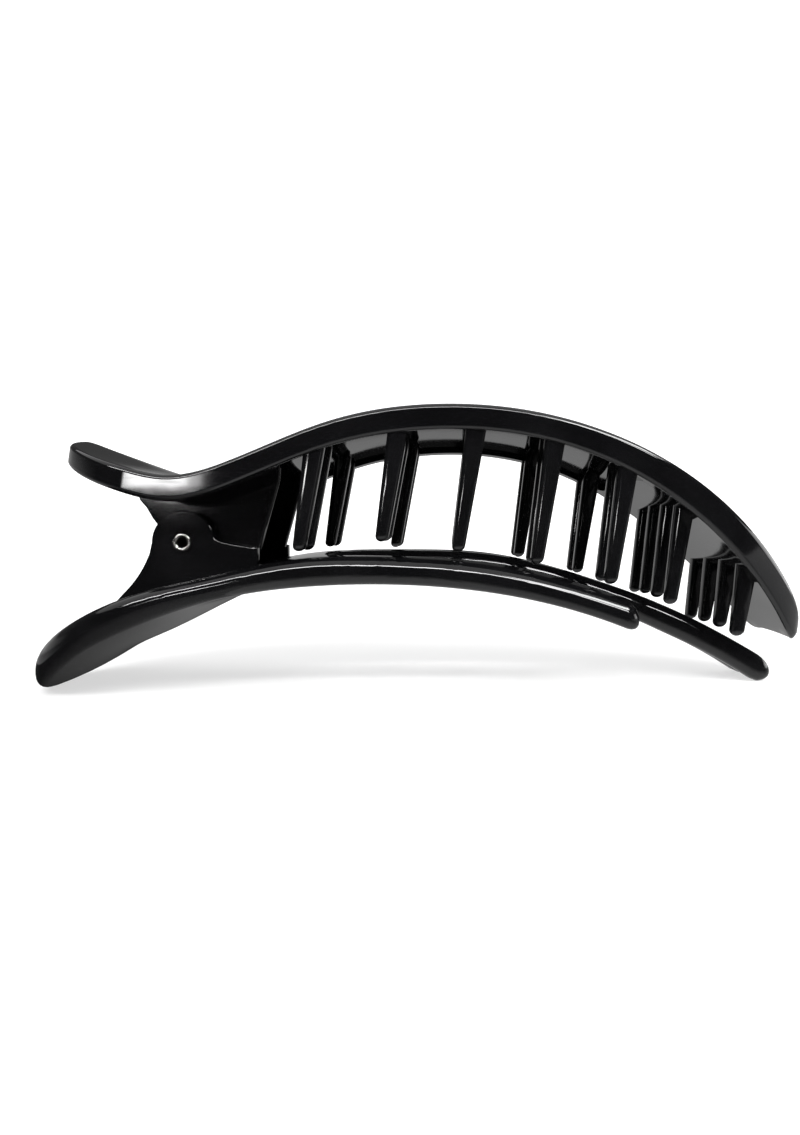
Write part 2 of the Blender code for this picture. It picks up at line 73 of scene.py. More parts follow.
# Arch across the width: the middle stands this much above the rims.
UPPER_CAMBER = [(-58, 0.6), (-50, 0.3), (-36, 0), (-22, 0.9), (0, 1.5), (30, 1.5), (50, 0.8),
                (63, 0)]
LOWER_CAMBER = [(-63, -1.2), (-58, -1.7), (-51, -2.2), (-43, -2.7), (-36, -1.6), (-28, 0.2),
                (-15, 0.6), (-4, 0.8), (9, 1.5), (20, 1.9), (58, 2.0)]

UPPER_THICKNESS, UPPER_EDGE_RADIUS = 3.8, 0.75
LOWER_THICKNESS, LOWER_EDGE_RADIUS = 4.2, 1.85
RIM_WIDTH = 2.2
PLATE_SHARE = 0.68  # of the rim's height, left as the plate over the pocket
UPPER_POCKET_END_X = 34.0
LOWER_POCKET_DEPTH = 1.6
LOWER_POCKET_END_X = -24.0

# Prongs of the lower jaw.
SHORT_PRONG_TIP_X, SHORT_PRONG_INNER_Y = 32.4, 13.4
LONG_PRONG_TIP_X, LONG_PRONG_OUTER_Y, LONG_PRONG_INNER_Y = 57.0, 5.9, 1.3
SIDE_SLOT_ROOT_X, MIDDLE_SLOT_ROOT_X = -13.3, -11.0
PRONG_TIP_RADIUS = 2.2
SLOT_ROOT_RADIUS, MIDDLE_SLOT_ROOT_RADIUS = 3.4, 1.04

# Teeth: one station has an outer and an inner pair, a row has four teeth side by side.
OUTER_LANE_Y, MIDDLE_LANE_Y, INNER_LANE_Y = 17.1, 10.8, 3.6
STATION_TIPS = [(-17.5, 22.3), (-5.4, 22.1), (5.8, 22.0), (17.3, 20.1), (28.1, 17.1)]
SHORT_STATION, SHORT_STATION_LIFT = 1, 1.5
ROW_TIPS = [(38.7, 13.4), (49.0, 8.4)]
INNER_LANE_LIFT = 0.4
TOOTH_LEAN = 0.16
TOOTH_TIP_RADII = (0.98, 1.15)
TOOTH_ROOT_RADII = (1.6, 1.4)
TOOTH_ROOT_DEPTH = 0.3  # of the rim's height, from the crest down to the end of the root
TOOTH_SQUARENESS = 3.6  # 2 is a round section, and a larger number is squarer
TOOTH_RINGS, TOOTH_SIDES = 20, 28
TOOTH_TOP_SHARE = 0.99  # of the root's length; the ring above it closes the tooth

# Hinge.
PIN_X, PIN_Z = -36.6, 23.7
LOWER_EAR_Y = (9.9, 11.5)
UPPER_EAR_Y = (8.0, 9.6)
EAR_EDGE_RADIUS = 0.3
LOWER_LOBE_RADIUS, LOWER_LOBE_DEGREES, LOWER_LOBE_POINTS = 4.9, (180, 12), 40
UPPER_LOBE_RADIUS, UPPER_LOBE_DEGREES, UPPER_LOBE_POINTS = 4.5, (-80, -205), 30
LOWER_EAR_LEFT = [(-50.6, 9.8), (-48.6, 12.8), (-46.6, 15.2), (-45.1, 16.7), (-43.8, 18.3),
                  (-42.7, 20.1), (-41.9, 21.9)]
LOWER_EAR_SHOULDER = [(-31.7, 24.2), (-30.6, 23.7), (-27.5, 23.1), (-25.1, 22.7)]
LOWER_EAR_FOOT_X = (-25.1, -50.8)
UPPER_EAR_ROOT_X = (-45.0, -21.9)
UPPER_EAR_RIGHT = [(-22.2, 33.3), (-24.6, 24.8), (-25.3, 22.4)]
UPPER_EAR_BOTTOM = [(-29.5, 21.2), (-33.0, 20.1)]
UPPER_EAR_LEFT = [(-42.1, 27.5), (-43.0, 29.1), (-44.1, 30.4)]
UPPER_EAR_ROOT_DEPTH, LOWER_EAR_ROOT_DEPTH = 0.7, 1.6
EAR_BORE_RADIUS = 1.25
PIN_RADIUS, PIN_BORE_RADIUS = 1.08, 0.82
PIN_RIM_RADIUS, PIN_RIM_GAP, PIN_RIM_THICKNESS = 1.42, 0.2, 0.4
# The rolled rim's section, in radii of its roll: depths below the rim's end, distances out from
# the bore, and the neck's height over the rim's inner face.
FLARE_DEPTH, LIP_DEPTH = 1.6, 0.5
LIP_OUT, INNER_ARC_OUT = 0.3, 1.3
NECK_HEIGHT = 0.3
INNER_ARC_DEGREES, INNER_ARC_STEPS = (150, 90), 6
OUTER_ARC_DEGREES, OUTER_ARC_STEPS = (90, -60), 10

# Spring.
WIRE_RADIUS = 0.58
COIL_RADIUS = 2.55
COIL_HALF_LENGTH = 4.9
COIL_PITCH = 1.4
POINTS_PER_TURN = 40
UPPER_LEG_END_X, LOWER_LEG_END_X = -49.0, -51.0
LEG_GAP = 0.7

SURFACE_Z = 0.0  # what the clip stands on
CUTTER_HEIGHT = 5.0

# How finely the pieces are made, so that they bend smoothly.
STATION_STEP = 1.25
ACROSS_STEP = 1.9
GRID_SHIFT = 0.31  # keeps the pocket's cuts off the plate's cuts
HANDLE_STEPS, BEAK_STEPS, POCKET_STEPS, FILLET_STEPS = 56, 80, 48, 12
EAR_EDGE_POINTS = 16
PLATE_ROUNDING, EAR_ROUNDING, WIRE_ROUNDING = 5, 3, 4
ROUND_SIDES = 48
LEG_STEPS = 10
SOFTENING_ROUNDS, CORNER_SHARE = 2, 0.75  # the share of each side at which a corner is cut back
SHARP_ANGLE = math.radians(38)

# Limits of the mesh clean-up, and what counts as no size and no width.
TINY, NARROWEST = 1e-6, 0.01
MERGE_DISTANCE, FLAT_ANGLE = 1e-4, math.radians(0.1)
SLIVER_SIZE, SHELL_FLAT_ANGLE = 0.004, math.radians(0.3)
NORMAL_WEIGHT = 60

# Camera, in millimetres: square on to the clip's side, a hand's width away, just above its hinge.
CAMERA_PLACE = (4.7, -124.0, 25.38)
CAMERA_ROLL = math.radians(-0.5)
SENSOR_WIDTH, FOCAL_LENGTH = 36.0, 23.09
CAMERA_SHIFT = (-0.04405, -0.03392)

# Materials: tones, ranges of roughness, and noise scales per metre.
BLACK_TONES = (0.0022, 0.0022, 0.0025), (0.0036, 0.0036, 0.0040)
BLACK_ROUGHNESS = (0.055, 0.085)
CLOUD_SCALE, HANDLING_SCALE, WAVE_SCALE = 120, 900, 260
HANDLING_STRETCH = (0.12, 1.0, 1.0)
HANDLING_ROUGHNESS, HANDLING_RANGE = (0.0, 0.05), (0.58, 0.78)
WAVE_STRENGTH, WAVE_HEIGHT = 0.25, 0.00002
PLASTIC_IOR = 1.5
PLATED_TONES, PLATED_ROUGHNESS = ((0.40, 0.39, 0.38), (0.55, 0.54, 0.52)), (0.14, 0.26)
TARNISH_SCALE, PLATED_GRAIN_SCALE, PLATED_GRAIN_STRENGTH = 1400, 5000, 0.2
WIRE_TONES, WIRE_ROUGHNESS = ((0.30, 0.30, 0.31), (0.46, 0.46, 0.47)), (0.24, 0.40)
WIRE_TONE_SCALE, DRAW_MARK_SCALE, DRAW_MARK_STRENGTH = 900, 4000, 0.25
DRAW_MARK_STRETCH = (1.0, 0.2, 1.0)
METAL_GRAIN_HEIGHT = 0.00001
CARD_TONES, CARD_MOTTLE_SCALE = ((0.40, 0.40, 0.40), (0.43, 0.43, 0.43)), 40
NOISE_DETAIL, COARSE_DETAIL, SMOOTH_DETAIL = 3.0, 2.0, 1.0
NOISE_RANGE, TONE_RANGE = (0.3, 0.7), (0.35, 0.65)

# Studio, in metres.
FLOOR_FRONT_Y, FLOOR_BACK_Y, STUDIO_HALF_WIDTH = -0.15, 0.9, 1.6
STUDIO_FRONT_Y = -1.6
WALL_HEIGHT = 1.6
GLOW_DISTANCE = (0.09, 0.4)  # the floor's glow rises between these distances from the clip
FLOOR_GLOW, WALL_GLOW = (0.62, 1.0), (1.1, 1.1)
# What the gloss mirrors in front and behind: share of the way from straight down to straight up,
# and the tone there.
FRONT_TONES = [(0.0, 0.9), (0.2, 0.8), (0.34, 0.3), (0.42, 0.03), (0.6, 0.015), (1.0, 0.05)]
BACK_TONES = [(0.0, 0.75), (0.3, 0.6), (0.4, 0.36), (0.47, 0.2), (0.49, 0.5), (0.56, 0.4),
              (0.6, 0.07)]
FRONT_TO_BACK = (-0.4, 0.2)  # the direction's Y, where the front tones give way to the back ones
# What the gloss mirrors under the clip, on cards hidden below the floor: painted shade below the
# lower handle, and a painted reflection by the beak.
SHADE_X, SHADE_Y = (-0.09, -0.03), (-0.06, 0.12)
SHADE_RISE_X, SHADE_TONES = (-0.062, -0.036), (0.02, 0.4)
BEAK_REFLECTION_X, BEAK_REFLECTION_Y, BEAK_REFLECTION_TONES = (0.085, 0.28), (-0.1, 0.2), (0.3, 0.85)
MIRRORED_DEPTH = 0.0005  # below the floor, which hides both from the camera

# Lights: name, place, aim, width, height and radiance.
LIGHTS = [
    ("overhead", (-0.05, 0.0, 0.6), (-0.05, 0.0, 0.0), 1.4, 1.1, 0.9),
    ("front_strip", (0.0, -0.42, 0.36), (0.0, 0.0, 0.0), 0.9, 0.06, 27.0),
    ("right_box", (0.33, -0.28, 0.47), (0.037, -0.018, 0.034), 0.42, 0.12, 20.0),
    ("right_fill", (0.6, 0.12, 0.09), (0.05, 0.0, 0.03), 0.5, 0.18, 2.4),
]
# The light that glints on the upper handle's rim, bright in its middle: x, width and radiance
# of each strip.
HANDLE_GLINT = [(-0.278, 0.014, 4.0), (-0.263, 0.016, 11.0), (-0.229, 0.046, 30.0),
                (-0.199, 0.012, 10.0)]
GLINT_Y, GLINT_Z, GLINT_HEIGHT, GLINT_AIM = -0.494, 0.071, 0.022, (-0.037, -0.019, 0.033)


def smooth_curve(points):
    """A natural cubic spline through the points, as a function of x."""
    x, z = np.array(points, float).T
    step = np.diff(x)
    slope = np.diff(z) / step
    system = np.eye(len(x))
    wanted = np.zeros(len(x))
    for i in range(1, len(x) - 1):
        system[i, i - 1 : i + 2] = step[i - 1], 2 * (step[i - 1] + step[i]), step[i]
        wanted[i] = 6 * (slope[i] - slope[i - 1])
    bend = np.linalg.solve(system, wanted)

    def at(where):
        i = int(np.clip(np.searchsorted(x, where) - 1, 0, len(x) - 2))
        d = where - x[i]
        first = slope[i] - step[i] * (2 * bend[i] + bend[i + 1]) / 6
        third = (bend[i + 1] - bend[i]) / (6 * step[i])
        return float(z[i] + d * first + d * d * bend[i] / 2 + d**3 * third)

    return at


crest = smooth_curve(UPPER_CREST)
rim_height = smooth_curve(UPPER_RIM_HEIGHT)
lower_inside = smooth_curve(LOWER_INSIDE)
lower_outside = smooth_curve(LOWER_OUTSIDE)
upper_camber = smooth_curve(UPPER_CAMBER)
lower_camber = smooth_curve(LOWER_CAMBER)


def upper_half_width(x):
    if x < UPPER_HANDLE_CENTRE_X:
        along = (UPPER_HANDLE_CENTRE_X - x) / UPPER_HANDLE_REACH
    else:
        along = max(0.0, (x - BEAK_CENTRE_X) / BEAK_REACH)
    return HALF_WIDTH * math.sqrt(max(0.0, 1 - along * along))


def arch(y, half):
    """1 on the middle line and 0 at the rim."""
    return 1 - min(1.0, (y / max(half, NARROWEST)) ** 2)


def upper_top(x, y):
    return crest(x) + upper_camber(x) * arch(y, upper_half_width(x))


def upper_edge(x, y):
    return upper_top(x, y) - rim_height(x)


def upper_ceiling(x, y):
    return upper_top(x, y) - PLATE_SHARE * rim_height(x)


def lower_arch(x, y):
    return lower_camber(x) * arch(y, HALF_WIDTH)


def lower_top(x, y):
    return lower_inside(x) + max(0.0, lower_arch(x, y))


def lower_bottom(x, y):
    return max(SURFACE_Z, lower_outside(x) + lower_arch(x, y))


def lower_floor(x, y):
    return lower_inside(x) + lower_arch(x, y) - LOWER_POCKET_DEPTH


def ellipse_end(centre_x, reach, half, steps, toward):
    """Points round a half ellipse, from -Y to +Y, that bulges to -X or +X."""
    angles = [math.pi * (i / steps - 0.5) for i in range(steps + 1)]
    return [(centre_x + toward * reach * math.cos(a), half * math.sin(a)) for a in angles]


def fillet(before, corner, after, radius, steps=FILLET_STEPS):
    """The arc that rounds a corner between two straight sides."""
    corner = Vector(corner)
    to_before = (Vector(before) - corner).normalized()
    to_after = (Vector(after) - corner).normalized()
    half_angle = to_before.angle(to_after) / 2
    reach = radius / math.tan(half_angle)
    centre = corner + (to_before + to_after).normalized() * radius / math.sin(half_angle)
    start = corner + to_before * reach - centre
    turn = start.angle_signed(corner + to_after * reach - centre)
    return [tuple(centre + Matrix.Rotation(-turn * i / steps, 2) @ start) for i in range(steps + 1)]


def upper_outline():
    left = ellipse_end(UPPER_HANDLE_CENTRE_X, UPPER_HANDLE_REACH, HALF_WIDTH, HANDLE_STEPS, -1)
    right = ellipse_end(BEAK_CENTRE_X, BEAK_REACH, HALF_WIDTH, BEAK_STEPS, 1)
    return right + left[::-1]


def lower_outline():
    """The comb: handle end, then a short and a long prong on each side."""
    far_side = []
    corners = [
        (LOWER_HANDLE_CENTRE_X, HALF_WIDTH, 0),
        (SHORT_PRONG_TIP_X, HALF_WIDTH, PRONG_TIP_RADIUS),
        (SHORT_PRONG_TIP_X, SHORT_PRONG_INNER_Y, PRONG_TIP_RADIUS),
        (SIDE_SLOT_ROOT_X, SHORT_PRONG_INNER_Y, SLOT_ROOT_RADIUS),
        (SIDE_SLOT_ROOT_X, LONG_PRONG_OUTER_Y, SLOT_ROOT_RADIUS),
        (LONG_PRONG_TIP_X, LONG_PRONG_OUTER_Y, PRONG_TIP_RADIUS),
        (LONG_PRONG_TIP_X, LONG_PRONG_INNER_Y, PRONG_TIP_RADIUS),
        (MIDDLE_SLOT_ROOT_X, LONG_PRONG_INNER_Y, MIDDLE_SLOT_ROOT_RADIUS),
        (MIDDLE_SLOT_ROOT_X, 0, 0),
    ]
    for before, corner, after in zip(corners, corners[1:], corners[2:]):
        far_side += fillet(before[:2], corner[:2], after[:2], corner[2])
    handle = ellipse_end(LOWER_HANDLE_CENTRE_X, LOWER_HANDLE_REACH, HALF_WIDTH, HANDLE_STEPS, -1)
    return handle + far_side + [(x, -y) for x, y in far_side[::-1]]


def pocket_outline(handle_centre_x, handle_reach, end_x):
    """The hollow inside a jaw: it follows the rim round the handle and ends square across."""
    side = HALF_WIDTH - RIM_WIDTH
    handle = ellipse_end(handle_centre_x, handle_reach - RIM_WIDTH, side, POCKET_STEPS, -1)
    end = fillet((handle_centre_x, side), (end_x, side), (end_x, 0), SLOT_ROOT_RADIUS)
    return handle + end + [(x, -y) for x, y in end[::-1]]


@contextmanager
def editing(mesh):
    """The mesh as a bmesh, written back at the end."""
    shape = bmesh.new()
    shape.from_mesh(mesh)
    yield shape
    shape.to_mesh(mesh)
    shape.free()


def evaluated_mesh(obj):
    """A new mesh of the object's shape with its modifiers or its curve settings worked in."""
    bpy.context.view_layer.update()
    return bpy.data.meshes.new_from_object(obj.evaluated_get(bpy.context.evaluated_depsgraph_get()))


def mesh_from_curve(curve, points, closed):
    """The mesh of the curve with straight sides between the points; the curve itself is removed."""
    line = curve.splines.new("POLY")
    line.points.add(len(points) - 1)
    for point, place in zip(line.points, points):
        point.co = (*place, 1)
    line.use_cyclic_u = closed
    holder = bpy.data.objects.new(curve.name, curve)
    bpy.context.scene.collection.objects.link(holder)
    mesh = evaluated_mesh(holder)
    bpy.data.objects.remove(holder)
    bpy.data.curves.remove(curve)
    return mesh


def mesh_from_outline(name, outline, thickness, edge_radius=0.0, rounding=PLATE_ROUNDING):
    """A flat plate with the outline, centred on z = 0, with rounded edges if a radius is given."""
    curve = bpy.data.curves.new(name, "CURVE")
    curve.dimensions = "2D"
    curve.fill_mode = "BOTH"
    curve.extrude = thickness / 2 - edge_radius
    curve.bevel_depth = edge_radius
    curve.bevel_resolution = rounding
    curve.offset = -edge_radius
    mesh = mesh_from_curve(curve, [(x, y, 0) for x, y in outline], closed=True)
    with editing(mesh) as shape:
        bmesh.ops.remove_doubles(shape, verts=shape.verts, dist=MERGE_DISTANCE)
        bmesh.ops.dissolve_limit(
            shape, angle_limit=FLAT_ANGLE, verts=shape.verts, edges=shape.edges
        )
        bmesh.ops.recalc_face_normals(shape, faces=shape.faces)
    return mesh


def slice_across(mesh, stations_x, stations_y):
    """Cuts the mesh's faces at each station, so that the plate can bend there."""
    planes = [((x, 0, 0), (1, 0, 0)) for x in stations_x]
    planes += [((0, y, 0), (0, 1, 0)) for y in stations_y]
    with editing(mesh) as shape:
        for point, normal in planes:
            everything = shape.verts[:] + shape.edges[:] + shape.faces[:]
            bmesh.ops.bisect_plane(
                shape, geom=everything, dist=MERGE_DISTANCE, plane_co=point, plane_no=normal
            )


def drape(mesh, thickness, under, over, lean=0.0):
    """Moves the flat plate's underside to one surface and its upper side to another.

    With a lean, the walls slope towards +X as they rise.
    """
    for vertex in mesh.vertices:
        x, y, z = vertex.co
        low = under(x, y)
        rise = (over(x, y) - low) * (z / thickness + 0.5)
        vertex.co = (x + lean * rise, y, low + rise)


def stations(low, high, shift=0.0):
    """Where a plate is cut along x and y; a shift keeps the cuts of two plates apart."""
    across = np.arange(-HALF_WIDTH + 2 * ACROSS_STEP, HALF_WIDTH - ACROSS_STEP, ACROSS_STEP)
    return np.arange(low + STATION_STEP + shift, high, STATION_STEP), across + shift


def draped_plate(name, outline, thickness, edge_radius, cuts, under, over, lean=0.0):
    mesh = mesh_from_outline(name, outline, thickness, edge_radius)
    slice_across(mesh, *cuts)
    drape(mesh, thickness, under, over, lean)
    return mesh


def linked(name, mesh):
    """The finished mesh as an object, in metres."""
    mesh.transform(Matrix.Scale(MM, 4))
    mesh.update()
    obj = bpy.data.objects.new(name, mesh)
    bpy.context.scene.collection.objects.link(obj)
    return obj


def combine(obj, other, operation):
    """Cuts the other solid from the object or joins it on, and removes the other."""
    change = obj.modifiers.new(other.name, "BOOLEAN")
    change.operation = operation
    change.object = other
    change.solver = "MANIFOLD"
    mesh = evaluated_mesh(obj)
    obj.modifiers.clear()
    obj.data = mesh
    bpy.data.objects.remove(other)


def tooth(shape, x, y, tip_z, root_z):
    """One tapered tooth with a round tip, leaning like all the others, added to the bmesh."""
    made = bmesh.ops.create_uvsphere(
        shape, u_segments=TOOTH_SIDES, v_segments=TOOTH_RINGS, radius=1.0
    )
    tip_height = TOOTH_TIP_RADII[0]
    for vertex in made["verts"]:
        out_x, out_y, up = vertex.co
        size = math.hypot(out_x, out_y)
        powers = abs(out_x) ** TOOTH_SQUARENESS + abs(out_y) ** TOOTH_SQUARENESS
        squared = size / powers ** (1 / TOOTH_SQUARENESS) if size > TINY else 1.0
        share = max(0.0, math.asin(max(-1.0, min(1.0, up))) / (math.pi / 2))
        if up <= TINY:
            height = (up + 1) * tip_height
            widest = 1.0
        else:
            height = tip_height + (root_z - tip_z - tip_height) * share
            widest = 1.0 / max(size, TINY) if share < TOOTH_TOP_SHARE else 0.0
        radii = [low + (high - low) * share for low, high in zip(TOOTH_TIP_RADII, TOOTH_ROOT_RADII)]
        vertex.co = (
            x + out_x * squared * widest * radii[0] + height * TOOTH_LEAN,
            y + out_y * squared * widest * radii[1],
            tip_z + height,
        )


def tooth_places():
    """x, y and z of every tooth's tip."""
    places = []
    for number, (x, z) in enumerate(STATION_TIPS):
        for y in (-OUTER_LANE_Y, -MIDDLE_LANE_Y, MIDDLE_LANE_Y, OUTER_LANE_Y):
            lift = SHORT_STATION_LIFT if number == SHORT_STATION and y < 0 else 0.0
            places.append((x, y, z + lift))
    for x, z in ROW_TIPS:
        for y in (-MIDDLE_LANE_Y, -INNER_LANE_Y, INNER_LANE_Y, MIDDLE_LANE_Y):
            places.append((x, y, z + (INNER_LANE_LIFT if abs(y) == INNER_LANE_Y else 0.0)))
    return places


def teeth_mesh():
    mesh = bpy.data.meshes.new("teeth")
    with editing(mesh) as shape:
        for x, y, z in tooth_places():
            root_x = x + TOOTH_LEAN * (crest(x) - z)
            tooth(shape, x, y, z, upper_top(root_x, y) - TOOTH_ROOT_DEPTH * rim_height(root_x))
    return mesh


def upright_plate(name, outline, low_y, high_y):
    """A plate with its outline in x and z, between two values of y."""
    mesh = mesh_from_outline(name, outline, high_y - low_y, EAR_EDGE_RADIUS, EAR_ROUNDING)
    middle = Matrix.Translation((0, (low_y + high_y) / 2, 0))
    mesh.transform(middle @ Matrix.Rotation(math.pi / 2, 4, "X"))
    return mesh


def arc(centre, radius, degrees, steps):
    """Points round a centre, from the first angle to the second."""
    angles = np.radians(np.linspace(*degrees, steps + 1))
    return [(centre[0] + radius * math.cos(a), centre[1] + radius * math.sin(a)) for a in angles]


def softened(points):
    """The open line with its corners cut back: smooth bends between the same two ends."""
    near, far = CORNER_SHARE, 1 - CORNER_SHARE
    for _ in range(SOFTENING_ROUNDS):
        cut = [points[0]]
        for (x0, z0), (x1, z1) in zip(points, points[1:]):
            cut.append((near * x0 + far * x1, near * z0 + far * z1))
            cut.append((far * x0 + near * x1, far * z0 + near * z1))
        points = cut + [points[-1]]
    return points


def ear_edge(surface, ear_y, depth, ends_x):
    """The edge of an ear that lies inside its plate, at a depth from one of its surfaces."""
    return [(x, surface(x, ear_y) + depth) for x in np.linspace(*ends_x, EAR_EDGE_POINTS)]


def lower_ear_outline():
    """Foot in the plate, hollow left side, lobe round the pin, and a low shoulder to the right."""
    lobe = arc((PIN_X, PIN_Z), LOWER_LOBE_RADIUS, LOWER_LOBE_DEGREES, LOWER_LOBE_POINTS)
    foot = ear_edge(lower_bottom, LOWER_EAR_Y[0], LOWER_EAR_ROOT_DEPTH, LOWER_EAR_FOOT_X)
    return softened(LOWER_EAR_LEFT) + lobe + softened(LOWER_EAR_SHOULDER) + foot


def upper_ear_outline():
    """Root in the plate, long leaning right side, and the lobe from under the pin up to its left."""
    lobe = arc((PIN_X, PIN_Z), UPPER_LOBE_RADIUS, UPPER_LOBE_DEGREES, UPPER_LOBE_POINTS)
    root = ear_edge(upper_top, UPPER_EAR_Y[0], -UPPER_EAR_ROOT_DEPTH, UPPER_EAR_ROOT_X)
    return root + UPPER_EAR_RIGHT + UPPER_EAR_BOTTOM + lobe + UPPER_EAR_LEFT


def laid_along_pin(mesh):
    """Turns a mesh made round Z to lie along the pin's axis."""
    mesh.transform(Matrix.Translation((PIN_X, 0, PIN_Z)) @ Matrix.Rotation(math.pi / 2, 4, "X"))


def bore():
    mesh = bpy.data.meshes.new("bore")
    radii = {"radius1": EAR_BORE_RADIUS, "radius2": EAR_BORE_RADIUS}
    with editing(mesh) as shape:
        bmesh.ops.create_cone(
            shape, cap_ends=True, segments=ROUND_SIDES, depth=2 * HALF_WIDTH, **radii
        )
    laid_along_pin(mesh)
    return linked("bore", mesh)


def add_ears(jaw, outline, ear_y):
    for side in (-1, 1):
        low, high = sorted(side * y for y in ear_y)
        combine(jaw, linked("ear", upright_plate("ear", outline, low, high)), "UNION")
    combine(jaw, bore(), "DIFFERENCE")


def finish_shell(jaw, look):
    """Smooth shading with crisp creases, the plastic, and no leftover slots or sliver faces."""
    mesh = jaw.data
    sliver = SLIVER_SIZE * MM
    with editing(mesh) as shape:
        bmesh.ops.remove_doubles(shape, verts=shape.verts, dist=sliver)
        bmesh.ops.dissolve_degenerate(shape, edges=shape.edges, dist=sliver)
        bmesh.ops.dissolve_limit(
            shape, angle_limit=SHELL_FLAT_ANGLE, verts=shape.verts, edges=shape.edges
        )
    mesh.materials.clear()
    mesh.materials.append(look)
    mesh.polygons.foreach_set("material_index", [0] * len(mesh.polygons))
    mesh.shade_smooth()
    mesh.set_sharp_from_angle(angle=SHARP_ANGLE)
    even = jaw.modifiers.new("even_normals", "WEIGHTED_NORMAL")
    even.keep_sharp = True
    even.weight = NORMAL_WEIGHT


def make_upper_jaw(look):
    low, high = UPPER_HANDLE_CENTRE_X - UPPER_HANDLE_REACH, BEAK_CENTRE_X + BEAK_REACH
    jaw = linked("upper_jaw_shell", draped_plate(
        "upper_jaw_shell", upper_outline(), UPPER_THICKNESS, UPPER_EDGE_RADIUS,
        stations(low, high), upper_edge, upper_top, UPPER_DRAW_LEAN,
    ))
    pocket = linked("pocket", draped_plate(
        "pocket", pocket_outline(UPPER_HANDLE_CENTRE_X, UPPER_HANDLE_REACH, UPPER_POCKET_END_X),
        CUTTER_HEIGHT, 0, stations(low + RIM_WIDTH, UPPER_POCKET_END_X, GRID_SHIFT),
        lambda x, y: upper_edge(x, y) - CUTTER_HEIGHT, upper_ceiling,
    ))
    combine(jaw, pocket, "DIFFERENCE")
    combine(jaw, linked("teeth", teeth_mesh()), "UNION")
    add_ears(jaw, upper_ear_outline(), UPPER_EAR_Y)
    finish_shell(jaw, look)
    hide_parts("upper_jaw")
    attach(jaw, "upper_half")


def make_lower_jaw(look):
    low = LOWER_HANDLE_CENTRE_X - LOWER_HANDLE_REACH
    jaw = linked("lower_jaw_shell", draped_plate(
        "lower_jaw_shell", lower_outline(), LOWER_THICKNESS, LOWER_EDGE_RADIUS,
        stations(low, LONG_PRONG_TIP_X), lower_bottom, lower_top,
    ))
    pocket = linked("pocket", draped_plate(
        "pocket", pocket_outline(LOWER_HANDLE_CENTRE_X, LOWER_HANDLE_REACH, LOWER_POCKET_END_X),
        CUTTER_HEIGHT, 0, stations(low + RIM_WIDTH, LOWER_POCKET_END_X, GRID_SHIFT),
        lower_floor, lambda x, y: lower_top(x, y) + CUTTER_HEIGHT,
    ))
    combine(jaw, pocket, "DIFFERENCE")
    add_ears(jaw, lower_ear_outline(), LOWER_EAR_Y)
    finish_shell(jaw, look)
    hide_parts("lower_jaw")
    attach(jaw, "lower_half")


def rivet_half():
    """Half of the rivet's section, as radius and height: bore, rolled rim, and out to mid-tube."""
    rim_face = LOWER_EAR_Y[1] + PIN_RIM_GAP
    end = rim_face + PIN_RIM_THICKNESS
    roll = PIN_RIM_THICKNESS / 2
    flare = [(PIN_BORE_RADIUS, end - FLARE_DEPTH * roll)]
    lip = [(PIN_BORE_RADIUS + LIP_OUT * roll, end - LIP_DEPTH * roll)]
    inner_centre = PIN_BORE_RADIUS + INNER_ARC_OUT * roll, end - roll
    outer_centre = PIN_RIM_RADIUS - roll, end - roll
    inner = arc(inner_centre, roll, INNER_ARC_DEGREES, INNER_ARC_STEPS)
    outer = arc(outer_centre, roll, OUTER_ARC_DEGREES, OUTER_ARC_STEPS)
    tube = [(PIN_RADIUS, rim_face + NECK_HEIGHT * roll), (PIN_RADIUS, 0.0)]
    return flare + lip + inner + outer + tube


def make_hinge_pin(look):
    """A hollow rivet: a tube along Y with a rolled rim at each end."""
    half = rivet_half()
    profile = half + [(r, -z) for r, z in half[-2::-1]]
    mesh = bpy.data.meshes.new("hinge_pin_rivet")
    edges = [(i, (i + 1) % len(profile)) for i in range(len(profile))]
    mesh.from_pydata([(r, 0, z) for r, z in profile], edges, [])
    with editing(mesh) as shape:
        bmesh.ops.spin(
            shape, geom=shape.verts[:] + shape.edges[:], axis=(0, 0, 1), cent=(0, 0, 0),
            steps=ROUND_SIDES, angle=2 * math.pi, use_merge=True,
        )
        bmesh.ops.remove_doubles(shape, verts=shape.verts, dist=MERGE_DISTANCE)
        bmesh.ops.recalc_face_normals(shape, faces=shape.faces)
    laid_along_pin(mesh)
    pin = linked("hinge_pin_rivet", mesh)
    mesh.materials.append(look)
    mesh.shade_smooth()
    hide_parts("hinge_pin")
    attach(pin, "lower_half")


def tangent_angle(end_x, end_z, side):
    """Where a straight leg from this end meets the coil, as an angle round the pin."""
    out_x, out_z = end_x - PIN_X, end_z - PIN_Z
    return math.atan2(out_z, out_x) + side * math.acos(COIL_RADIUS / math.hypot(out_x, out_z))


def leg(start, end):
    """Points along a straight leg, without its last one."""
    return [tuple(Vector(start).lerp(Vector(end), i / LEG_STEPS)) for i in range(LEG_STEPS)]


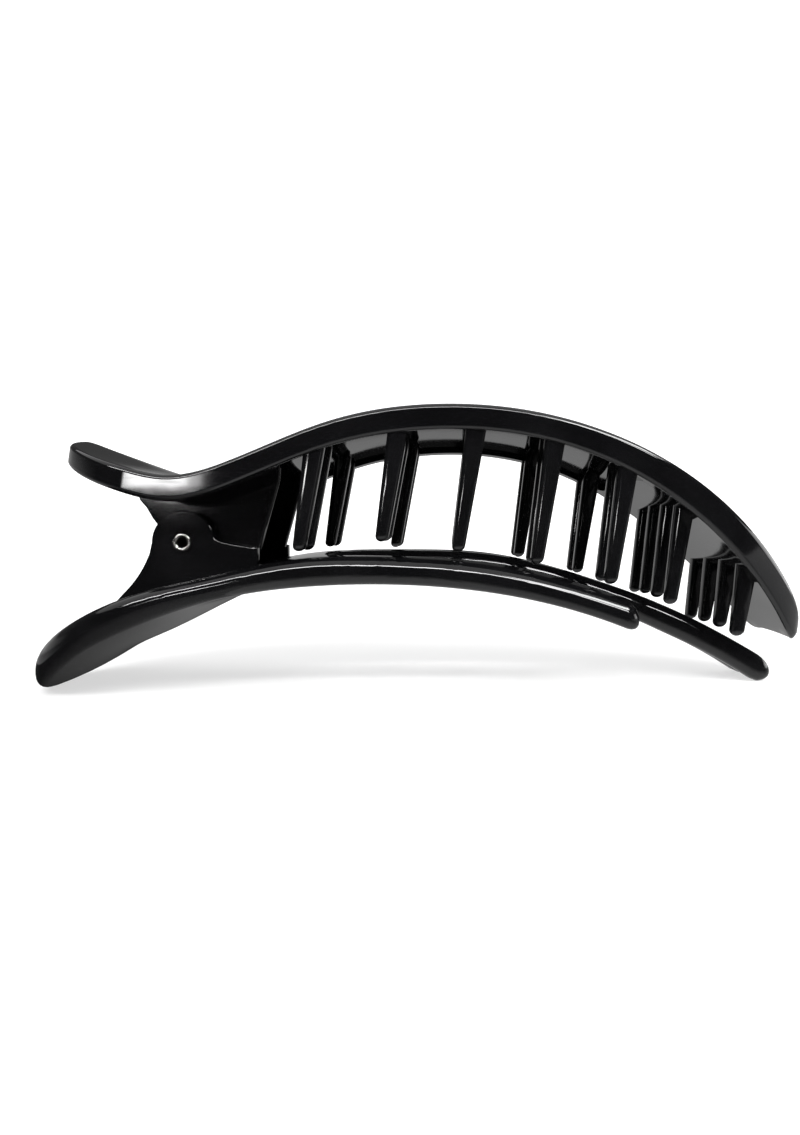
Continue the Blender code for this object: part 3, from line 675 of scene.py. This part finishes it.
def spring_route():
    """From the lower handle along one leg, round the coil, and back along the other leg."""
    leg_height = WIRE_RADIUS + LEG_GAP
    low_end_z = lower_floor(LOWER_LEG_END_X, COIL_HALF_LENGTH) + leg_height
    high_end_z = upper_ceiling(UPPER_LEG_END_X, COIL_HALF_LENGTH) - leg_height
    first_angle = tangent_angle(LOWER_LEG_END_X, low_end_z, 1)
    last_angle = tangent_angle(UPPER_LEG_END_X, high_end_z, -1)
    whole_turns = round(2 * COIL_HALF_LENGTH / COIL_PITCH)
    turned = 2 * math.pi * whole_turns + last_angle - first_angle
    steps = round(turned / (2 * math.pi) * POINTS_PER_TURN)
    coil = []
    for i in range(steps + 1):
        angle = first_angle + turned * i / steps
        out_x, out_z = COIL_RADIUS * math.cos(angle), COIL_RADIUS * math.sin(angle)
        coil.append((PIN_X + out_x, COIL_HALF_LENGTH * (2 * i / steps - 1), PIN_Z + out_z))
    low_end = (LOWER_LEG_END_X, -COIL_HALF_LENGTH, low_end_z)
    high_end = (UPPER_LEG_END_X, COIL_HALF_LENGTH, high_end_z)
    return leg(low_end, coil[0]) + coil + leg(high_end, coil[-1])[::-1]


def make_torsion_spring(look):
    curve = bpy.data.curves.new("torsion_spring_wire", "CURVE")
    curve.dimensions = "3D"
    curve.bevel_depth = WIRE_RADIUS
    curve.bevel_resolution = WIRE_ROUNDING
    curve.use_fill_caps = True
    mesh = mesh_from_curve(curve, spring_route(), closed=False)
    with editing(mesh) as shape:
        bmesh.ops.remove_doubles(shape, verts=shape.verts, dist=MERGE_DISTANCE)
    spring = linked("torsion_spring_wire", mesh)
    mesh.materials.clear()
    mesh.materials.append(look)
    mesh.shade_smooth()
    mesh.set_sharp_from_angle(angle=SHARP_ANGLE)
    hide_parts("torsion_spring")
    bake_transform(spring)


def new_material(name):
    """A new node material, then its nodes, links, shader and object coordinates."""
    made = bpy.data.materials.new(name)
    made.use_nodes = True
    nodes, links = made.node_tree.nodes, made.node_tree.links
    coordinates = nodes.new("ShaderNodeTexCoord").outputs["Object"]
    return made, nodes, links, nodes["Principled BSDF"], coordinates


def noise(nodes, links, coordinates, scale, detail=NOISE_DETAIL, stretch=None):
    if stretch:
        mapping = nodes.new("ShaderNodeMapping")
        mapping.inputs["Scale"].default_value = stretch
        links.new(coordinates, mapping.inputs["Vector"])
        coordinates = mapping.outputs["Vector"]
    texture = nodes.new("ShaderNodeTexNoise")
    texture.inputs["Scale"].default_value = scale
    texture.inputs["Detail"].default_value = detail
    links.new(coordinates, texture.inputs["Vector"])
    return texture.outputs["Fac"]


def spread(nodes, links, value, reach, within=NOISE_RANGE):
    """The value mapped from the range that it is within to a new reach, and held inside it."""
    node = nodes.new("ShaderNodeMapRange")
    node.inputs["From Min"].default_value, node.inputs["From Max"].default_value = within
    node.inputs["To Min"].default_value, node.inputs["To Max"].default_value = reach
    links.new(value, node.inputs["Value"])
    return node.outputs["Result"]


def added(nodes, links, first, second):
    node = nodes.new("ShaderNodeMath")
    links.new(first, node.inputs[0])
    links.new(second, node.inputs[1])
    return node.outputs["Value"]


def coloured(nodes, links, shader, value, tones):
    """Gives the shader a base colour that goes from the first tone to the second with the value."""
    ramp = nodes.new("ShaderNodeValToRGB")
    for element, position, tone in zip(ramp.color_ramp.elements, TONE_RANGE, tones):
        element.position = position
        element.color = (*tone, 1)
    links.new(value, ramp.inputs["Fac"])
    links.new(ramp.outputs["Color"], shader.inputs["Base Color"])


def bumped(nodes, links, shader, height, strength, distance):
    bump = nodes.new("ShaderNodeBump")
    bump.inputs["Strength"].default_value = strength
    bump.inputs["Distance"].default_value = distance
    links.new(height, bump.inputs["Height"])
    links.new(bump.outputs["Normal"], shader.inputs["Normal"])


def black_plastic():
    """Polished moulded plastic: faint clouds, fine handling marks and the mould's slight waves."""
    made, nodes, links, shader, where = new_material("black_plastic")
    cloud = noise(nodes, links, where, CLOUD_SCALE)
    coloured(nodes, links, shader, cloud, BLACK_TONES)
    marks = noise(nodes, links, where, HANDLING_SCALE, COARSE_DETAIL, HANDLING_STRETCH)
    polish = spread(nodes, links, cloud, BLACK_ROUGHNESS)
    wear = spread(nodes, links, marks, HANDLING_ROUGHNESS, HANDLING_RANGE)
    links.new(added(nodes, links, polish, wear), shader.inputs["Roughness"])
    shader.inputs["IOR"].default_value = PLASTIC_IOR
    waves = noise(nodes, links, where, WAVE_SCALE, SMOOTH_DETAIL)
    bumped(nodes, links, shader, waves, WAVE_STRENGTH, WAVE_HEIGHT)
    return made


def plated_steel():
    """Bright plated rivet, dulled a little in random patches."""
    made, nodes, links, shader, where = new_material("pin_steel")
    tarnish = noise(nodes, links, where, TARNISH_SCALE)
    coloured(nodes, links, shader, tarnish, PLATED_TONES)
    links.new(spread(nodes, links, tarnish, PLATED_ROUGHNESS), shader.inputs["Roughness"])
    shader.inputs["Metallic"].default_value = 1.0
    grain = noise(nodes, links, where, PLATED_GRAIN_SCALE, COARSE_DETAIL)
    bumped(nodes, links, shader, grain, PLATED_GRAIN_STRENGTH, METAL_GRAIN_HEIGHT)
    return made


def spring_steel():
    """Drawn wire, greyer than the pin, with fine draw marks along it."""
    made, nodes, links, shader, where = new_material("spring_steel")
    tone = noise(nodes, links, where, WIRE_TONE_SCALE)
    coloured(nodes, links, shader, tone, WIRE_TONES)
    links.new(spread(nodes, links, tone, WIRE_ROUGHNESS), shader.inputs["Roughness"])
    shader.inputs["Metallic"].default_value = 1.0
    draw_marks = noise(nodes, links, where, DRAW_MARK_SCALE, COARSE_DETAIL, DRAW_MARK_STRETCH)
    bumped(nodes, links, shader, draw_marks, DRAW_MARK_STRENGTH, METAL_GRAIN_HEIGHT)
    return made


def studio_white(name, glow):
    """Matt white card with a faint mottle, which glows like a lit sweep, from near to far."""
    made, nodes, links, shader, where = new_material(name)
    mottle = noise(nodes, links, where, CARD_MOTTLE_SCALE)
    coloured(nodes, links, shader, mottle, CARD_TONES)
    shader.inputs["Roughness"].default_value = 1.0
    shader.inputs["Specular IOR Level"].default_value = 0.0
    shader.inputs["Emission Color"].default_value = (1, 1, 1, 1)
    distance = nodes.new("ShaderNodeVectorMath")
    distance.operation = "LENGTH"
    links.new(where, distance.inputs[0])
    glowing = spread(nodes, links, distance.outputs["Value"], glow, GLOW_DISTANCE)
    links.new(glowing, shader.inputs["Emission Strength"])
    return made


def glow_along_x(name, tones, rise_x):
    """A black card's look, whose glow goes from the first tone to the second along X."""
    made, nodes, links, shader, where = new_material(name)
    apart = nodes.new("ShaderNodeSeparateXYZ")
    links.new(where, apart.inputs["Vector"])
    glowing = spread(nodes, links, apart.outputs["X"], tones, rise_x)
    links.new(glowing, shader.inputs["Emission Strength"])
    shader.inputs["Emission Color"].default_value = (1, 1, 1, 1)
    shader.inputs["Base Color"].default_value = (0, 0, 0, 1)
    shader.inputs["Specular IOR Level"].default_value = 0.0
    return made


def make_card(name, corners, look, mirrored=False, lighting=True):
    """A flat card that the camera sees.

    The clip's gloss mirrors it only if mirrored. It takes part in the light only if lighting.
    """
    mesh = bpy.data.meshes.new(name)
    mesh.from_pydata(corners, [], [range(len(corners))])
    mesh.materials.append(look)
    card = bpy.data.objects.new(name, mesh)
    card.visible_glossy = mirrored
    card.visible_diffuse = lighting
    card.visible_shadow = lighting
    bpy.context.scene.collection.objects.link(card)


def level_corners(x_range, y_range, z):
    (x0, x1), (y0, y1) = x_range, y_range
    return [(x0, y0, z), (x1, y0, z), (x1, y1, z), (x0, y1, z)]


def wall_corners(start, end):
    (x0, y0), (x1, y1) = start, end
    return [(x0, y0, 0.0), (x1, y1, 0.0), (x1, y1, WALL_HEIGHT), (x0, y0, WALL_HEIGHT)]


def make_studio():
    """A pale floor, a white backdrop, and under it the painted shade and reflection that the gloss
    mirrors.
    """
    left, right = -STUDIO_HALF_WIDTH, STUDIO_HALF_WIDTH
    floor = level_corners((left, right), (FLOOR_FRONT_Y, FLOOR_BACK_Y), 0.0)
    make_card("floor", floor, studio_white("floor_card", FLOOR_GLOW))
    wall = wall_corners((left, FLOOR_BACK_Y), (right, FLOOR_BACK_Y))
    make_card("backdrop", wall, studio_white("backdrop_card", WALL_GLOW))
    # Painted shade: a hidden card, darkest by the handle's tip, that only the gloss mirrors.
    shade = level_corners(SHADE_X, SHADE_Y, -MIRRORED_DEPTH)
    shade_look = glow_along_x("handle_shade", SHADE_TONES, SHADE_RISE_X)
    make_card("handle_shade", shade, shade_look, mirrored=True)
    # Painted reflection: a glowing hidden card by the beak, that only the gloss mirrors.
    patch = level_corners(BEAK_REFLECTION_X, BEAK_REFLECTION_Y, -MIRRORED_DEPTH)
    beak_reflection_look = glow_along_x("beak_painted_reflection", BEAK_REFLECTION_TONES, BEAK_REFLECTION_X)
    make_card("beak_painted_reflection", patch, beak_reflection_look, mirrored=True)


def make_surroundings():
    """Plain white all round, for views from behind and from the sides; it lights nothing."""
    left, right = -STUDIO_HALF_WIDTH, STUDIO_HALF_WIDTH
    apron = level_corners((left, right), (STUDIO_FRONT_Y, FLOOR_FRONT_Y), 0.0)
    make_card("apron", apron, studio_white("apron_card", FLOOR_GLOW), lighting=False)
    white = studio_white("wall_card", WALL_GLOW)
    near_left, near_right = (left, STUDIO_FRONT_Y), (right, STUDIO_FRONT_Y)
    make_card("front_wall", wall_corners(near_left, near_right), white, lighting=False)
    make_card("left_wall", wall_corners(near_left, (left, FLOOR_BACK_Y)), white, lighting=False)
    make_card("right_wall", wall_corners(near_right, (right, FLOOR_BACK_Y)), white, lighting=False)


def grey_ramp(nodes, links, value, tones):
    """Greys along the value, from pairs of position and tone."""
    ramp = nodes.new("ShaderNodeValToRGB")
    elements = ramp.color_ramp.elements
    while len(elements) < len(tones):
        elements.new(0.5)
    for element, (position, tone) in zip(elements, tones):
        element.position = position
        element.color = (tone, tone, tone, 1)
    links.new(value, ramp.inputs["Fac"])
    return ramp.outputs["Color"]


def make_air():
    """The dim studio that the gloss mirrors: dark in front and above, paler behind and below."""
    world = bpy.data.worlds.new("studio_air")
    world.use_nodes = True
    nodes, links = world.node_tree.nodes, world.node_tree.links
    direction = nodes.new("ShaderNodeTexCoord").outputs["Generated"]
    apart = nodes.new("ShaderNodeSeparateXYZ")
    links.new(direction, apart.inputs["Vector"])
    height = spread(nodes, links, apart.outputs["Z"], (0, 1), (-1, 1))
    blend = nodes.new("ShaderNodeMix")
    blend.data_type = "RGBA"
    behind = spread(nodes, links, apart.outputs["Y"], (0, 1), FRONT_TO_BACK)
    links.new(behind, blend.inputs["Factor"])
    links.new(grey_ramp(nodes, links, height, FRONT_TONES), blend.inputs["A"])
    links.new(grey_ramp(nodes, links, height, BACK_TONES), blend.inputs["B"])
    links.new(blend.outputs["Result"], nodes["Background"].inputs["Color"])
    bpy.context.scene.world = world


def softbox(name, place, aim, width, height, radiance):
    """A rectangular light at a place, turned to the aim point, as bright as its radiance says."""
    light = bpy.data.lights.new(name, "AREA")
    light.shape = "RECTANGLE"
    light.size, light.size_y = width, height
    light.energy = radiance * math.pi * width * height
    obj = bpy.data.objects.new(name, light)
    obj.location = place
    obj.rotation_euler = (Vector(aim) - Vector(place)).to_track_quat("-Z", "Y").to_euler()
    bpy.context.scene.collection.objects.link(obj)


def make_lights():
    for light in LIGHTS:
        softbox(*light)
    for x, width, radiance in HANDLE_GLINT:
        softbox("left_strip", (x, GLINT_Y, GLINT_Z), GLINT_AIM, width, GLINT_HEIGHT, radiance)


def make_camera():
    data = bpy.data.cameras.new("camera")
    data.sensor_width = SENSOR_WIDTH
    data.lens = FOCAL_LENGTH
    data.shift_x, data.shift_y = CAMERA_SHIFT
    data.clip_start = MM
    camera = bpy.data.objects.new("camera", data)
    turn = Matrix.Rotation(math.pi / 2, 4, "X") @ Matrix.Rotation(CAMERA_ROLL, 4, "Z")
    camera.matrix_world = Matrix.Translation(Vector(CAMERA_PLACE) * MM) @ turn
    bpy.context.scene.collection.objects.link(camera)
    bpy.context.scene.camera = camera


plastic = black_plastic()
make_upper_jaw(plastic)
make_lower_jaw(plastic)
make_hinge_pin(plated_steel())
make_torsion_spring(spring_steel())
make_studio()
make_surroundings()
make_air()
make_lights()
make_camera()
bpy.context.scene.view_settings.view_transform = "Standard"
